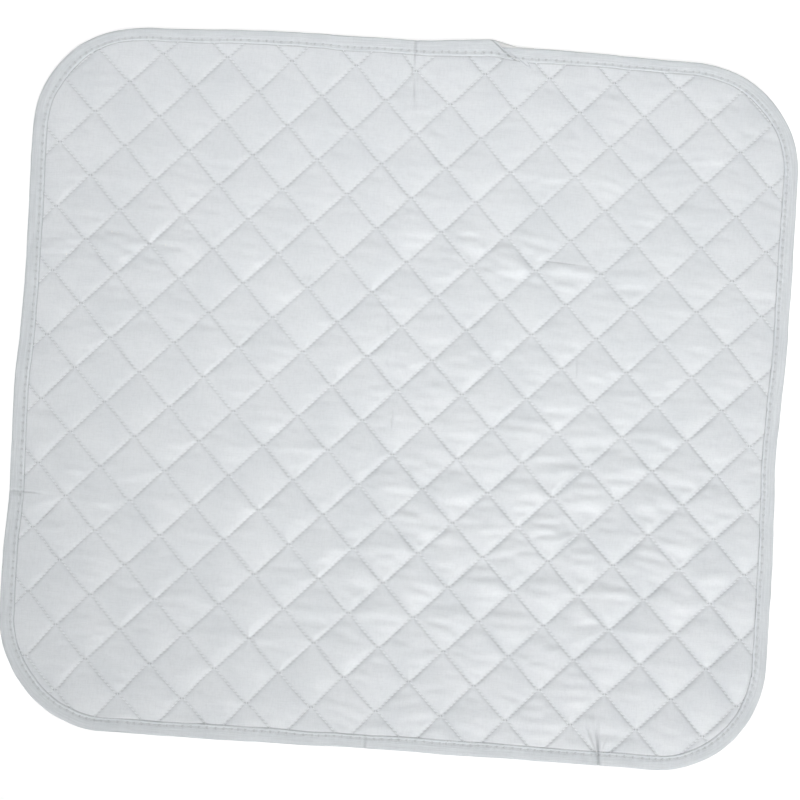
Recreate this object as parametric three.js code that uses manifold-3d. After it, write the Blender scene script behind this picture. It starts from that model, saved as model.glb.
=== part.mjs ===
// Quilted ironing pad: a face cloth, wadding and a backing cloth sewn together in diamonds by rows of
// zigzag lockstitch, with a folded cloth tape bound round the edge. The pad lies face up on a table.
// Millimetres: X runs across the pad, Y up the pad, and Z up from the table at Z = 0.
import * as THREE from "three";
import { mergeVertices } from "three/addons/utils/BufferGeometryUtils.js";
import Module from "manifold-3d";

// Outline of the pad
const PAD_WIDTH = 600;
const PAD_DEPTH = 557;
const CORNER_RADIUS = 89;
const CORNER_STEPS = 6;

// Cloths, wadding pressed flat under a seam, tape, thread, and the room between pieces that touch
const FACE_THICKNESS = 0.35;
const BACKING_THICKNESS = 0.35;
const SEWN_WADDING = 0.6;
const TAPE_THICKNESS = 0.4;
const THREAD_THICKNESS = 0.4;
const LAYER_GAP = 0.25;

// Quilting: the diamonds' diagonals, the height of the middle crossing above the pad's centre, the crown of
// a diamond above its seams, the room under the back's crowns, the setback of a row from its neighbour,
// and the least distance from middle to side of a cut diamond that still has a crown
const DIAMOND_WIDTH = 50.6;
const DIAMOND_DEPTH = 50.4;
const CROSSING_Y = 3.7;
const FACE_LOFT = 3;
const TABLE_CLEARANCE = 0.1;
const TURN_SETBACK = 0.8;
const LEAST_CROWNED = 7;

// Binding: width on each side of the pad, seam from the inner fold, start of the turned-in hem from the
// edge, bevel of the outer fold, and the slanted joint of the tape's two ends
const BINDING_WIDTH = 11;
const STITCH_INSET = 2.4;
const HEM_SETBACK = 1.6;
const EDGE_BEVEL = 1.2;
const JOINT_X = 60;
const JOINT_SLANT = 1.55;
const JOINT_GAP = 0.3;

// Points of the plan closer together than this are one point
const WELD = 0.002;

// Heights, from the table up
const stitchGroove = THREAD_THICKNESS + LAYER_GAP;
const flange = TAPE_THICKNESS + stitchGroove;
const backSeam = flange + LAYER_GAP;
const backTop = backSeam + BACKING_THICKNESS;
const waddingBottom = backTop + LAYER_GAP;
const waddingTop = waddingBottom + SEWN_WADDING;
const faceBottom = waddingTop + LAYER_GAP;
const faceSeam = faceBottom + FACE_THICKNESS;
const bindingTop = faceSeam + LAYER_GAP + flange;
const backLoft = backSeam - TABLE_CLEARANCE;

// Distances in from the pad's edge
const clothInset = TAPE_THICKNESS + LAYER_GAP;
const seamInset = BINDING_WIDTH - STITCH_INSET;
const quiltInset = BINDING_WIDTH + LAYER_GAP;
const rowEndInset = quiltInset + THREAD_THICKNESS;

// Half a diamond each way, and how many halves reach past the pad's edges from its centre
const halfWidth = DIAMOND_WIDTH / 2;
const halfDepth = DIAMOND_DEPTH / 2;
const columnReach = Math.ceil(PAD_WIDTH / 2 / halfWidth) + 1;
const stepReach = Math.ceil((PAD_DEPTH / 2 + Math.abs(CROSSING_Y)) / halfDepth) + 1;

const FINISHES = {
  faceCloth: { color: 0xdfe3e6, roughness: 0.55, metalness: 0.05 },
  backingCloth: { color: 0xe6e6e2, roughness: 0.9, metalness: 0 },
  wadding: { color: 0xf3f2ee, roughness: 1, metalness: 0 },
  tape: { color: 0xd4d8db, roughness: 0.6, metalness: 0.03 },
  thread: { color: 0xc6cacd, roughness: 0.7, metalness: 0 },
};

const wasm = await Module();
wasm.setup();

// Rounded outline of the pad, set in from its edge, anticlockwise from the lower right corner
function outline(inset) {
  const x = PAD_WIDTH / 2 - CORNER_RADIUS;
  const y = PAD_DEPTH / 2 - CORNER_RADIUS;
  const centres = [[x, -y], [x, y], [-x, y], [-x, -y]];
  const radius = CORNER_RADIUS - inset;
  const quarter = Math.PI / 2;
  return centres.flatMap(([centreX, centreY], corner) => {
    const start = (corner - 1) * quarter;
    const arc = new THREE.EllipseCurve(centreX, centreY, radius, radius, start, start + quarter);
    return arc.getPoints(CORNER_STEPS);
  });
}

// How far a point lies to the left of the line from a to b
function leftOf(a, b, point) {
  const along = b.clone().sub(a);
  return along.cross(point.clone().sub(a)) / along.length();
}

// The part of a polygon that lies inside an anticlockwise convex fence
function clipPolygon(polygon, fence) {
  let kept = polygon;
  fence.forEach((a, k) => {
    const b = fence[(k + 1) % fence.length];
    const before = kept;
    kept = [];
    before.forEach((point, n) => {
      const next = before[(n + 1) % before.length];
      const depth = leftOf(a, b, point);
      const nextDepth = leftOf(a, b, next);
      if (depth >= 0) kept.push(point);
      if (depth >= 0 !== nextDepth >= 0) kept.push(point.clone().lerp(next, depth / (depth - nextDepth)));
    });
  });
  return kept;
}

// Where a segment enters and leaves an anticlockwise convex fence, as shares of its length
function clipSegment(start, end, fence) {
  let enter = 0;
  let leave = 1;
  fence.forEach((a, k) => {
    const b = fence[(k + 1) % fence.length];
    const depth = leftOf(a, b, start);
    const endDepth = leftOf(a, b, end);
    if (depth < 0 && endDepth < 0) leave = -1;
    if (depth < 0 && endDepth >= 0) enter = Math.max(enter, depth / (depth - endDepth));
    if (depth >= 0 && endDepth < 0) leave = Math.min(leave, depth / (depth - endDepth));
  });
  return enter < leave ? { enter, leave } : null;
}

// Average of a polygon's points, and the least distance from it to the polygon's sides
function middleOf(polygon) {
  const middle = new THREE.Vector2();
  polygon.forEach((point) => middle.add(point));
  middle.divideScalar(polygon.length);
  const rooms = polygon.map((point, k) => leftOf(point, polygon[(k + 1) % polygon.length], middle));
  return { middle, room: Math.min(...rooms) };
}

function geometryOf(points, faces) {
  return new THREE.BufferGeometry().setFromPoints(points).setIndex(faces.flat());
}

function solidOf(geometry) {
  const merged = mergeVertices(geometry);
  const vertProperties = merged.getAttribute("position").array;
  const triVerts = new Uint32Array(merged.index.array);
  return new wasm.Manifold(new wasm.Mesh({ numProp: 3, vertProperties, triVerts }));
}

function geometryOfSolid(solid) {
  const { vertProperties, triVerts } = solid.getMesh();
  const geometry = new THREE.BufferGeometry();
  geometry.setAttribute("position", new THREE.BufferAttribute(vertProperties, 3));
  return geometry.setIndex(new THREE.BufferAttribute(triVerts, 1));
}

// Skin through rings of as many points each. The faces of an end close an open run of rings.
function loft(rings, endFaces) {
  const size = rings[0].length;
  const faces = [];
  const spans = endFaces ? rings.length - 1 : rings.length;
  for (let ring = 0; ring < spans; ring += 1) {
    const here = ring * size;
    const there = ((ring + 1) % rings.length) * size;
    for (let k = 0; k < size; k += 1) {
      const next = (k + 1) % size;
      faces.push([here + k, here + next, there + next], [here + k, there + next, there + k]);
    }
  }
  const last = (rings.length - 1) * size;
  (endFaces ?? []).forEach(([a, b, c]) => faces.push([a, c, b], [last + a, last + b, last + c]));
  return geometryOf(rings.flat(), faces);
}

// Plan of the quilting: each diamond is clipped to the area inside the binding and fanned out from its
// crown, or from a corner where it is a flat scrap, and a flat border runs on to the cut edge of the cloth
function planQuilting() {
  const points = [];
  const crownShares = [];
  const numbers = new Map();
  const place = (point, crownShare) => {
    const key = `${Math.round(point.x / WELD)} ${Math.round(point.y / WELD)}`;
    if (!numbers.has(key)) {
      numbers.set(key, points.length);
      points.push(point);
      crownShares.push(crownShare);
    }
    return numbers.get(key);
  };

  const faces = [];
  const openSides = new Map();
  const addDiamond = (x, y, fence) => {
    const diamond = [
      new THREE.Vector2(x + halfWidth, y),
      new THREE.Vector2(x, y + halfDepth),
      new THREE.Vector2(x - halfWidth, y),
      new THREE.Vector2(x, y - halfDepth),
    ];
    const placed = clipPolygon(diamond, fence).map((point) => place(point, 0));
    const corners = placed.filter((corner, k) => corner !== placed[(k + 1) % placed.length]);
    if (corners.length < 3) return;
    const { middle, room } = middleOf(corners.map((corner) => points[corner]));
    const hub = room < LEAST_CROWNED ? corners[0] : place(middle, room / middleOf(diamond).room);
    corners.forEach((corner, k) => {
      const next = corners[(k + 1) % corners.length];
      if (corner !== hub && next !== hub) faces.push([hub, corner, next]);
      if (!openSides.delete(`${next} ${corner}`)) openSides.set(`${corner} ${next}`, [corner, next]);
    });
  };

  const fence = outline(quiltInset);
  for (let column = -columnReach; column <= columnReach; column += 1) {
    for (let step = -stepReach; step <= stepReach; step += 1) {
      const isCrossing = (column + step) % 2 === 0;
      if (!isCrossing) addDiamond(column * halfWidth, CROSSING_Y + step * halfDepth, fence);
    }
  }

  const follower = new Map(openSides.values());
  const [firstOpen] = follower.keys();
  const quiltEdge = [firstOpen];
  while (follower.get(quiltEdge.at(-1)) !== firstOpen) quiltEdge.push(follower.get(quiltEdge.at(-1)));

  const rim = outline(clothInset).map((point) => place(point, 0));
  const border = [...rim, ...quiltEdge];
  const pointsOf = (numbered) => numbered.map((number) => points[number]);
  THREE.ShapeUtils.triangulateShape(pointsOf(rim), [pointsOf(quiltEdge)]).forEach((face) => {
    const [a, b, c] = face.map((k) => border[k]);
    const isAnticlockwise = leftOf(points[a], points[b], points[c]) > 0;
    faces.push(isAnticlockwise ? [a, b, c] : [a, c, b]);
  });
  return { points, crownShares, faces, rim };
}

// A quilted layer between two heights at the seams, lifted at the crowns by the lofts of its two sides
function quiltedLayer(plan, bottom, bottomLoft, top, topLoft) {
  const count = plan.points.length;
  const at = (height, loftHeight) =>
    plan.points.map(({ x, y }, k) => new THREE.Vector3(x, y, height + loftHeight * plan.crownShares[k]));
  const faces = plan.faces.flatMap(([a, b, c]) => [[a, c, b], [count + a, count + b, count + c]]);
  plan.rim.forEach((corner, k) => {
    const next = plan.rim[(k + 1) % plan.rim.length];
    faces.push([corner, next, count + next], [corner, count + next, count + corner]);
  });
  return geometryOf([...at(bottom, bottomLoft), ...at(top, topLoft)], faces);
}

// Section of the folded tape, as distances in from the pad's edge and heights: the lower side is drawn
// from the outer fold in to the hem, and the upper side is its mirror image
function tapeSection() {
  const grooveHalf = THREAD_THICKNESS / 2 + LAYER_GAP;
  const foldInset = BINDING_WIDTH - flange / 2;
  const lower = [
    [0, EDGE_BEVEL],
    [EDGE_BEVEL, 0],
    [seamInset - grooveHalf, 0],
    [seamInset - grooveHalf, stitchGroove],
    [seamInset + grooveHalf, stitchGroove],
    [seamInset + grooveHalf, 0],
    [foldInset, 0],
    [BINDING_WIDTH, flange / 2],
    [foldInset, flange],
    [HEM_SETBACK, flange],
    [HEM_SETBACK, TAPE_THICKNESS],
    [EDGE_BEVEL, TAPE_THICKNESS],
    [TAPE_THICKNESS, EDGE_BEVEL],
  ];
  const upper = lower.map(([inset, height]) => [inset, bindingTop - height]).reverse();
  return [...lower, ...upper].map(([inset, height]) => new THREE.Vector2(inset, height));
}

// The binding: the tape's section led round the outline from one slanted end to the other on the top edge
function bindingGeometry() {
  const section = tapeSection();
  const lines = section.map(({ x: inset }) => outline(inset));
  const afterJoint = 2 * (CORNER_STEPS + 1);
  const stations = lines[0].map((_, k) => (afterJoint + k) % lines[0].length);
  const rings = stations.map((station) =>
    section.map(({ y: height }, k) => new THREE.Vector3(lines[k][station].x, lines[k][station].y, height)),
  );
  const slantedEnd = (x) =>
    section.map(({ x: inset, y: height }) =>
      new THREE.Vector3(x + inset * JOINT_SLANT, PAD_DEPTH / 2 - inset, height),
    );
  rings.unshift(slantedEnd(JOINT_X - JOINT_GAP / 2));
  rings.push(slantedEnd(JOINT_X + JOINT_GAP / 2));
  return loft(rings, THREE.ShapeUtils.triangulateShape(section, []));
}

// A thread round the binding's seam, between two heights
function seamThreadGeometry(bottom, top) {
  const outer = outline(seamInset - THREAD_THICKNESS / 2);
  const inner = outline(seamInset + THREAD_THICKNESS / 2);
  const at = (point, height) => new THREE.Vector3(point.x, point.y, height);
  const rings = outer.map((point, k) => [
    at(point, top),
    at(point, bottom),
    at(inner[k], bottom),
    at(inner[k], top),
  ]);
  return loft(rings, null);
}

// Path of one row of quilting from below the pad to above it: it turns at the crossings of the columns on
// its left and right, short of them by a setback on each side
function zigzag(column, leftSetback, rightSetback) {
  const path = [];
  for (let step = -stepReach; step <= stepReach; step += 1) {
    const turnsLeft = (column + step) % 2 === 0;
    const x = turnsLeft ? column * halfWidth + leftSetback : (column + 1) * halfWidth - rightSetback;
    path.push(new THREE.Vector2(x, CROSSING_Y + step * halfDepth));
  }
  return path;
}

// The stretches of a path that lie inside a fence
function stretchesInside(path, fence) {
  const stretches = [];
  let isInside = false;
  path.slice(1).forEach((end, k) => {
    const start = path[k];
    const cut = clipSegment(start, end, fence);
    if (!cut) {
      isInside = false;
      return;
    }
    if (!isInside || cut.enter > 0) stretches.push([start.clone().lerp(end, cut.enter)]);
    stretches.at(-1).push(start.clone().lerp(end, cut.leave));
    isInside = cut.leave === 1;
  });
  return stretches;
}

// A three-sided thread along a path, lying on a height and standing up from it, or down if it is negative
function threadGeometry(path, base, rise) {
  const sideways = path.slice(1).map((end, k) => {
    const along = end.clone().sub(path[k]).normalize();
    return new THREE.Vector2(-along.y, along.x);
  });
  const rings = path.map((point, k) => {
    const before = sideways[Math.max(k - 1, 0)];
    const after = sideways[Math.min(k, sideways.length - 1)];
    const mitre = before.clone().add(after);
    mitre.multiplyScalar(THREAD_THICKNESS / 2 / (1 + before.dot(after)));
    const left = new THREE.Vector3(point.x + mitre.x, point.y + mitre.y, base);
    const right = new THREE.Vector3(point.x - mitre.x, point.y - mitre.y, base);
    const ridge = new THREE.Vector3(point.x, point.y, base + rise);
    return rise > 0 ? [right, left, ridge] : [left, right, ridge];
  });
  return loft(rings, [[0, 1, 2]]);
}

// Every row of quilting on one side of the pad. A row runs unbroken from edge to edge. Where the edge cuts
// a row into short turns, each turn is joined to the next row inwards, which it meets at a crossing.
function quiltingRows(base, rise) {
  const fence = outline(rowEndInset);
  const wholeColumns = Math.floor((PAD_WIDTH / 2 - rowEndInset) / halfWidth);
  const threadSolid = (path) => solidOf(threadGeometry(path, base, rise));
  const rows = new Map();
  for (let column = -wholeColumns; column < wholeColumns; column += 1) {
    const stretches = stretchesInside(zigzag(column, TURN_SETBACK, TURN_SETBACK), fence);
    const unbroken = stretches.find((path) => path[0].y < CROSSING_Y && path.at(-1).y > CROSSING_Y);
    rows.set(column, threadSolid(unbroken));
  }
  for (let column = -wholeColumns - 1; column <= wholeColumns; column += 1) {
    const isLeft = column < 0;
    const inward = isLeft ? column + 1 : column - 1;
    const leftSetback = isLeft ? TURN_SETBACK : -TURN_SETBACK;
    const turns = stretchesInside(zigzag(column, leftSetback, -leftSetback), fence);
    turns
      .filter((path) => path.length === 3)
      .forEach((path) => rows.set(inward, rows.get(inward).add(threadSolid(path))));
  }
  return [...rows.values()].map(geometryOfSolid);
}

const pad = new THREE.Group();

function addPiece(name, geometry, finish) {
  const piece = new THREE.Mesh(geometry, new THREE.MeshStandardMaterial(finish));
  piece.name = name;
  pad.add(piece);
}

const plan = planQuilting();
const backingLayer = quiltedLayer(plan, backSeam, -backLoft, backTop, -backLoft);
const waddingLayer = quiltedLayer(plan, waddingBottom, -backLoft, waddingTop, FACE_LOFT);
const faceLayer = quiltedLayer(plan, faceBottom, FACE_LOFT, faceSeam, FACE_LOFT);
addPiece("backing_cloth", backingLayer, FINISHES.backingCloth);
addPiece("wadding", waddingLayer, FINISHES.wadding);
addPiece("face_cloth", faceLayer, FINISHES.faceCloth);

const bindingNeedleThread = seamThreadGeometry(bindingTop - THREAD_THICKNESS, bindingTop);
const bindingBobbinThread = seamThreadGeometry(0, THREAD_THICKNESS);
addPiece("edge_binding", bindingGeometry(), FINISHES.tape);
addPiece("binding_needle_thread", bindingNeedleThread, FINISHES.thread);
addPiece("binding_bobbin_thread", bindingBobbinThread, FINISHES.thread);

const needleRows = quiltingRows(faceSeam + LAYER_GAP, THREAD_THICKNESS);
const bobbinRows = quiltingRows(backSeam - LAYER_GAP, -THREAD_THICKNESS);
const rowNumber = (k) => String(k + 1).padStart(2, "0");
needleRows.forEach((row, k) => addPiece(`quilting_needle_thread_${rowNumber(k)}`, row, FINISHES.thread));
bobbinRows.forEach((row, k) => addPiece(`quilting_bobbin_thread_${rowNumber(k)}`, row, FINISHES.thread));

export default pad;
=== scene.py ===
import math

import bpy
import numpy as np
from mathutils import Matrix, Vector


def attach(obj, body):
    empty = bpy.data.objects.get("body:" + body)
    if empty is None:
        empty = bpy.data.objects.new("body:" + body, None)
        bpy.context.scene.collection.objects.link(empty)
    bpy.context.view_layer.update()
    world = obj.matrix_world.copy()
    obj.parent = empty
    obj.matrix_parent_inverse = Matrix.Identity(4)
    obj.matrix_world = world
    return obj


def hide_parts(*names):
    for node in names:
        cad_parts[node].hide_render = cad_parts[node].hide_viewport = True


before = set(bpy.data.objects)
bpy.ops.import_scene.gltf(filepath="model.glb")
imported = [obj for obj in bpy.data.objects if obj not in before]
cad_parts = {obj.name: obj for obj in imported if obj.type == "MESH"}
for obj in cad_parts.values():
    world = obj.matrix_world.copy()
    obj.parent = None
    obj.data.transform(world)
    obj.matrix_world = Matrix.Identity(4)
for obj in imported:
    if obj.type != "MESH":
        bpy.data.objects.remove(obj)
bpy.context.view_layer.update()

scene = bpy.context.scene

# Sizes are in millimetres until a mesh is made, and follow the solids of the part.
MM = 0.001
PAD_WIDTH = 600.0
PAD_DEPTH = 557.0
CORNER_RADIUS = 89.0
HALF_X = 25.3
HALF_Y = 25.2
CROSSING_Y = 3.7
SIDE = math.hypot(HALF_X, HALF_Y)
ROWS = 22
CELL_REACH = 12
FIRST_COLUMN = -11
TURN_SETBACK = 1.1

# Heights of the layers where they are sewn flat.
FACE_SEAM = 3.1
WADDING_TOP = 2.5
WADDING_BOTTOM = 1.9
BACK_SEAM = 1.3
TABLE_CLEARANCE = 0.1

# Binding: how far it covers the face, and where its seam runs.
BINDING_WIDTH = 11.0
SEAM_INSET = 8.6
CLOTH_INSET = 2.0
QUILT_INSET = 9.5
JOINT_X = 60.0
JOINT_SLANT = 1.55

# Sewing.
STITCHES_PER_SIDE = 10
QUILT_THREAD = 0.25
BINDING_STITCH = 6.3
BINDING_THREAD = 0.3


# Plan of the pad

def smooth(t):
    """0 before 0, 1 after 1, and an even ramp between."""
    t = np.clip(t, 0.0, 1.0)
    return t * t * (3.0 - 2.0 * t)


def field(x, y, pitch, seed):
    """Smooth random values from -1 to 1, with bumps about pitch millimetres apart."""
    table = np.random.default_rng(seed).uniform(-1.0, 1.0, (64, 64))
    u = np.asarray(x) / pitch
    v = np.asarray(y) / pitch
    i = np.floor(u).astype(int)
    j = np.floor(v).astype(int)
    fu = smooth(u - i)
    fv = smooth(v - j)
    low = table[i % 64, j % 64] * (1 - fu) + table[(i + 1) % 64, j % 64] * fu
    high = table[i % 64, (j + 1) % 64] * (1 - fu) + table[(i + 1) % 64, (j + 1) % 64] * fu
    return low * (1 - fv) + high * fv


def depth_inside(x, y):
    """Distance in from the pad's outline, and the unit direction that points outwards."""
    qx = np.abs(x) - (PAD_WIDTH / 2 - CORNER_RADIUS)
    qy = np.abs(y) - (PAD_DEPTH / 2 - CORNER_RADIUS)
    ox = np.maximum(qx, 0.0)
    oy = np.maximum(qy, 0.0)
    reach = np.hypot(ox, oy)
    depth = CORNER_RADIUS - reach - np.minimum(np.maximum(qx, qy), 0.0)
    near_x = (qx > qy).astype(float)
    safe = np.where(reach > 1e-9, reach, 1.0)
    nx = np.where(reach > 1e-9, ox / safe, near_x) * np.sign(x)
    ny = np.where(reach > 1e-9, oy / safe, 1.0 - near_x) * np.sign(y)
    return depth, nx, ny


# Gentle pulls that take the sewn pad out of true: centre, reach and shift of each.
PULLS = [
    (-222.0, 285.0, 70.0, 26.0, 0.0, -4.4),
    (215.0, 285.0, 70.0, 26.0, 0.0, -3.0),
    (-305.0, 77.0, 60.0, 55.0, 1.4, 0.0),
    (-305.0, -8.0, 60.0, 30.0, -1.4, 0.0),
    (-305.0, -97.0, 60.0, 25.0, 0.9, 0.0),
    (-305.0, -145.0, 60.0, 35.0, -1.2, 0.0),
    (305.0, 100.0, 70.0, 60.0, 1.3, 1.5),
    (305.0, -32.0, 60.0, 34.0, -2.1, 0.0),
    (305.0, -135.0, 60.0, 40.0, 1.2, 0.0),
    (285.0, -262.0, 75.0, 75.0, 2.7, -2.7),
    (-9.0, -285.0, 40.0, 40.0, 0.0, 0.8),
    (0.0, 255.0, 24.0, 24.0, -3.4, -1.3),
    (262.0, 185.0, 50.0, 45.0, 0.6, 1.8),
]

# Drift of the quilting inside the binding: its middle, and more with x, y, xy, xx and yy in half widths.
DRIFT_X = (-1.6, 1.1, 1.7, -1.6, 1.6, 0.4)
DRIFT_Y = (0.2, 0.2, 0.0, -0.1, 1.6, -0.7)


def warp(x, y):
    """The plan with the drift and the pulls in it."""
    u = x / (PAD_WIDTH / 2)
    v = y / (PAD_WIDTH / 2)
    terms = (1.0, u, v, u * v, u * u, v * v)
    inside = smooth((depth_inside(x, y)[0] - BINDING_WIDTH) / 40.0)
    wx = x + inside * sum(share * term for share, term in zip(DRIFT_X, terms))
    wy = y + inside * sum(share * term for share, term in zip(DRIFT_Y, terms))
    for cx, cy, rx, ry, dx, dy in PULLS:
        w = np.exp(-((x - cx) / rx) ** 2 - ((y - cy) / ry) ** 2)
        wx += dx * w
        wy += dy * w
    return wx, wy


# Creases pressed into the pad: where each starts and fades out, its half width and depth.
CREASES = [
    ((-4.0, 281.0), (0.5, 215.0), 1.7, 1.1),
    ((-8.7, -281.0), (-8.0, -262.0), 1.6, 0.8),
    ((-3.8, -11.0), (-3.2, -32.0), 1.6, 0.45),
    ((-14.1, -66.0), (-13.0, -84.0), 1.6, 0.35),
    ((137.3, 40.0), (138.7, 16.0), 1.6, 0.5),
    ((-84.5, -100.0), (-84.0, -116.0), 1.6, 0.3),
    ((-301.0, -94.5), (-252.0, -96.5), 1.8, 0.9),
    ((300.0, -40.0), (262.0, -44.0), 3.0, 0.7),
    ((-301.0, -98.5), (-275.0, -99.5), 1.6, -0.6),
    ((176.0, -281.0), (168.5, -226.0), 1.9, 2.0),
    ((173.0, -270.0), (158.5, -240.0), 1.9, 1.7),
    ((177.0, -270.0), (186.0, -246.0), 1.6, 0.7),
    ((179.0, -270.0), (200.0, -252.0), 1.6, 0.6),
    ((171.5, -282.0), (170.5, -262.0), 1.6, -0.9),
    ((258.0, -196.0), (242.0, -192.0), 1.6, 0.6),
    ((104.0, 113.0), (146.0, 110.6), 1.4, 0.9),
    ((69.0, 116.8), (92.0, 117.0), 1.5, 0.8),
    ((45.0, 108.5), (16.0, 111.3), 1.8, 0.7),
    ((-286.0, 105.0), (-246.0, 107.0), 1.8, 1.0),
    ((-286.0, 92.0), (-244.0, 94.0), 1.8, 1.0),
    ((-302.0, 99.0), (-282.0, 99.5), 1.5, 0.6),
    ((-196.0, 91.0), (-166.0, 90.0), 1.8, 0.6),
    ((-236.0, 112.5), (-204.0, 111.5), 1.8, 0.7),
    ((-202.0, 106.0), (-170.0, 104.0), 1.8, 0.8),
    ((-9.5, 30.0), (-13.0, 95.0), 1.7, 0.45),
    ((-9.5, 30.0), (-7.5, -12.0), 1.7, 0.45),
]


# Share of the lift that the under side takes up.
UNDER_LIFT = 0.5


def lift(x, y):
    """Height that creases and the lie of the pad add to every layer."""
    z = 0.3 * field(x, y, 95.0, 3) + 0.12 * field(x, y, 41.0, 8)
    for (x0, y0), (x1, y1), half, deep in CREASES:
        length = math.hypot(x1 - x0, y1 - y0)
        ux = (x1 - x0) / length
        uy = (y1 - y0) / length
        along = (x - x0) * ux + (y - y0) * uy
        off = (x - x0) * uy - (y - y0) * ux
        fade = smooth((along + 3.0) / 6.0) * (1.0 - smooth((along - 0.35 * length) / (0.65 * length)))
        trough = np.exp(-(off / half) ** 2) - 0.45 * np.exp(-(off / (2.6 * half)) ** 2)
        z = z - deep * fade * trough
    return z


def settle(x, y, z):
    """Points with the pulls and creases of the whole pad in them."""
    wx, wy = warp(x, y)
    return np.stack([wx, wy, z + lift(wx, wy)], 1)


def settle_under(x, y, z, lowest):
    """Points of an under side, which takes up only a share of the creases and stays off the table."""
    wx, wy = warp(x, y)
    return np.stack([wx, wy, np.maximum(z + UNDER_LIFT * lift(wx, wy), lowest)], 1)


# Mesh helpers

def add_object(name, points, faces, material, maps=None):
    """A smooth mesh object from points in millimetres, with maps of (u, v) per point."""
    mesh = bpy.data.meshes.new(name)
    mesh.from_pydata((np.asarray(points) * MM).tolist(), [], faces)
    corners = np.empty(len(mesh.loops), dtype=np.int32)
    mesh.loops.foreach_get("vertex_index", corners)
    for layer, values in (maps or {}).items():
        uv = mesh.uv_layers.new(name=layer)
        uv.data.foreach_set("uv", np.asarray(values, dtype=np.float32)[corners].ravel())
    mesh.polygons.foreach_set("use_smooth", np.ones(len(mesh.polygons), dtype=bool))
    mesh.materials.append(material)
    mesh.update()
    made = bpy.data.objects.new(name, mesh)
    scene.collection.objects.link(made)
    return made


def ring_faces(rings, sides):
    """Faces of a tube of rings, each of so many sides, with closed ends."""
    i, j = np.meshgrid(np.arange(rings - 1), np.arange(sides), indexing="ij")
    k = (j + 1) % sides
    quads = np.stack([i * sides + j, i * sides + k, (i + 1) * sides + k, (i + 1) * sides + j], -1)
    last = (rings - 1) * sides
    return quads.reshape(-1, 4).tolist() + [list(range(sides))[::-1], list(range(last, last + sides))]


# Keeps the values of the quilting's map above 0.
MAP_SHIFT = 40.0


class QuiltGrid:
    """A grid of cloth whose lines run along the quilting seams, trimmed to the pad's outline.

    Whole numbers of a and b are the seams, and a cell between them is one diamond.
    """

    def __init__(self, in_cell, inset):
        cells = np.arange(-CELL_REACH, CELL_REACH + 1)
        self.lines = (cells[:, None] + np.asarray(in_cell)[None, :]).ravel()
        a, b = np.meshgrid(self.lines, self.lines, indexing="ij")
        x = (a - b) * HALF_X
        y = CROSSING_Y + (a + b) * HALF_Y
        n = len(self.lines)
        number = np.arange(n * n).reshape(n, n)
        quads = np.stack([number[:-1, :-1], number[1:, :-1], number[1:, 1:], number[:-1, 1:]], -1)
        depth = depth_inside((x[:-1, :-1] + x[1:, 1:]) / 2, (y[:-1, :-1] + y[1:, 1:]) / 2)[0]
        quads = quads[depth > inset]
        self.used = np.unique(quads)
        renumber = np.full(n * n, -1)
        renumber[self.used] = np.arange(len(self.used))
        self.quads = renumber[quads]
        self.a = a.ravel()[self.used]
        self.b = b.ravel()[self.used]
        self.x = x.ravel()[self.used]
        self.y = y.ravel()[self.used]
        edges = np.concatenate([self.quads[:, [k, (k + 1) % 4]] for k in range(4)])
        ends = np.sort(edges, axis=1)
        _, first, counts = np.unique(ends, axis=0, return_index=True, return_counts=True)
        self.rim = edges[first[counts == 1]]
        self.snap_rim(inset)
        self.depth = depth_inside(self.x, self.y)[0]

    def snap_rim(self, inset):
        """Moves the rim's points onto the trimmed outline."""
        depth, nx, ny = depth_inside(self.x, self.y)
        on_rim = np.unique(self.rim)
        move = np.zeros(len(self.x))
        move[on_rim] = depth[on_rim] - inset
        self.x = self.x + nx * move
        self.y = self.y + ny * move

    def seam_distance(self):
        """Distance in millimetres from each point to the nearest seam."""
        da = np.abs(self.a - np.round(self.a))
        db = np.abs(self.b - np.round(self.b))
        return np.minimum(da, db) * SIDE

    def thread_distance(self):
        """Distance in millimetres to the thread, whose turns keep clear of the next row's."""
        column = self.a - self.b
        first = np.floor(column + 1e-9)
        wave = np.abs((self.a + self.b + first + 1.0) % 2.0 - 1.0)
        thread_x = TURN_SETBACK + wave * (HALF_X - 2.0 * TURN_SETBACK)
        return np.abs((column - first) * HALF_X - thread_x) * HALF_Y / SIDE

    def turn_distance(self):
        """Distance in millimetres to the nearest crossing of the seams."""
        da = self.a - np.round(self.a)
        db = self.b - np.round(self.b)
        return np.hypot((da - db) * HALF_X, (da + db) * HALF_Y)

    def maps(self):
        """Columns and steps of the quilting, and the distance in from the binding's outer edge."""
        quilt = np.stack([self.a - self.b + MAP_SHIFT, self.a + self.b + MAP_SHIFT], 1)
        run = edge_run(self.x, self.y)
        under_lap = run < JOINT_SLANT * BINDING_WIDTH
        inset = self.depth + edge_wander(run + PERIMETER * under_lap, BINDING_WIDTH)
        return {"quilt": quilt, "edge": np.stack([inset, np.zeros(len(inset))], 1)}


# Cloth simulation of the face

SIM_LINES = 20
SIM_SCALE = 0.02
SIM_FRAMES = 18
GATHER_FRAMES = 10
SLACK_ACROSS = 0.001
SLACK_ALONG = 0.002
UNEVEN_FEED = 0.1
WAVES = 0.48
PUFF = 1.0
LEAN_ACROSS = 0.02
LEAN_WANDER = 6.0

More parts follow.
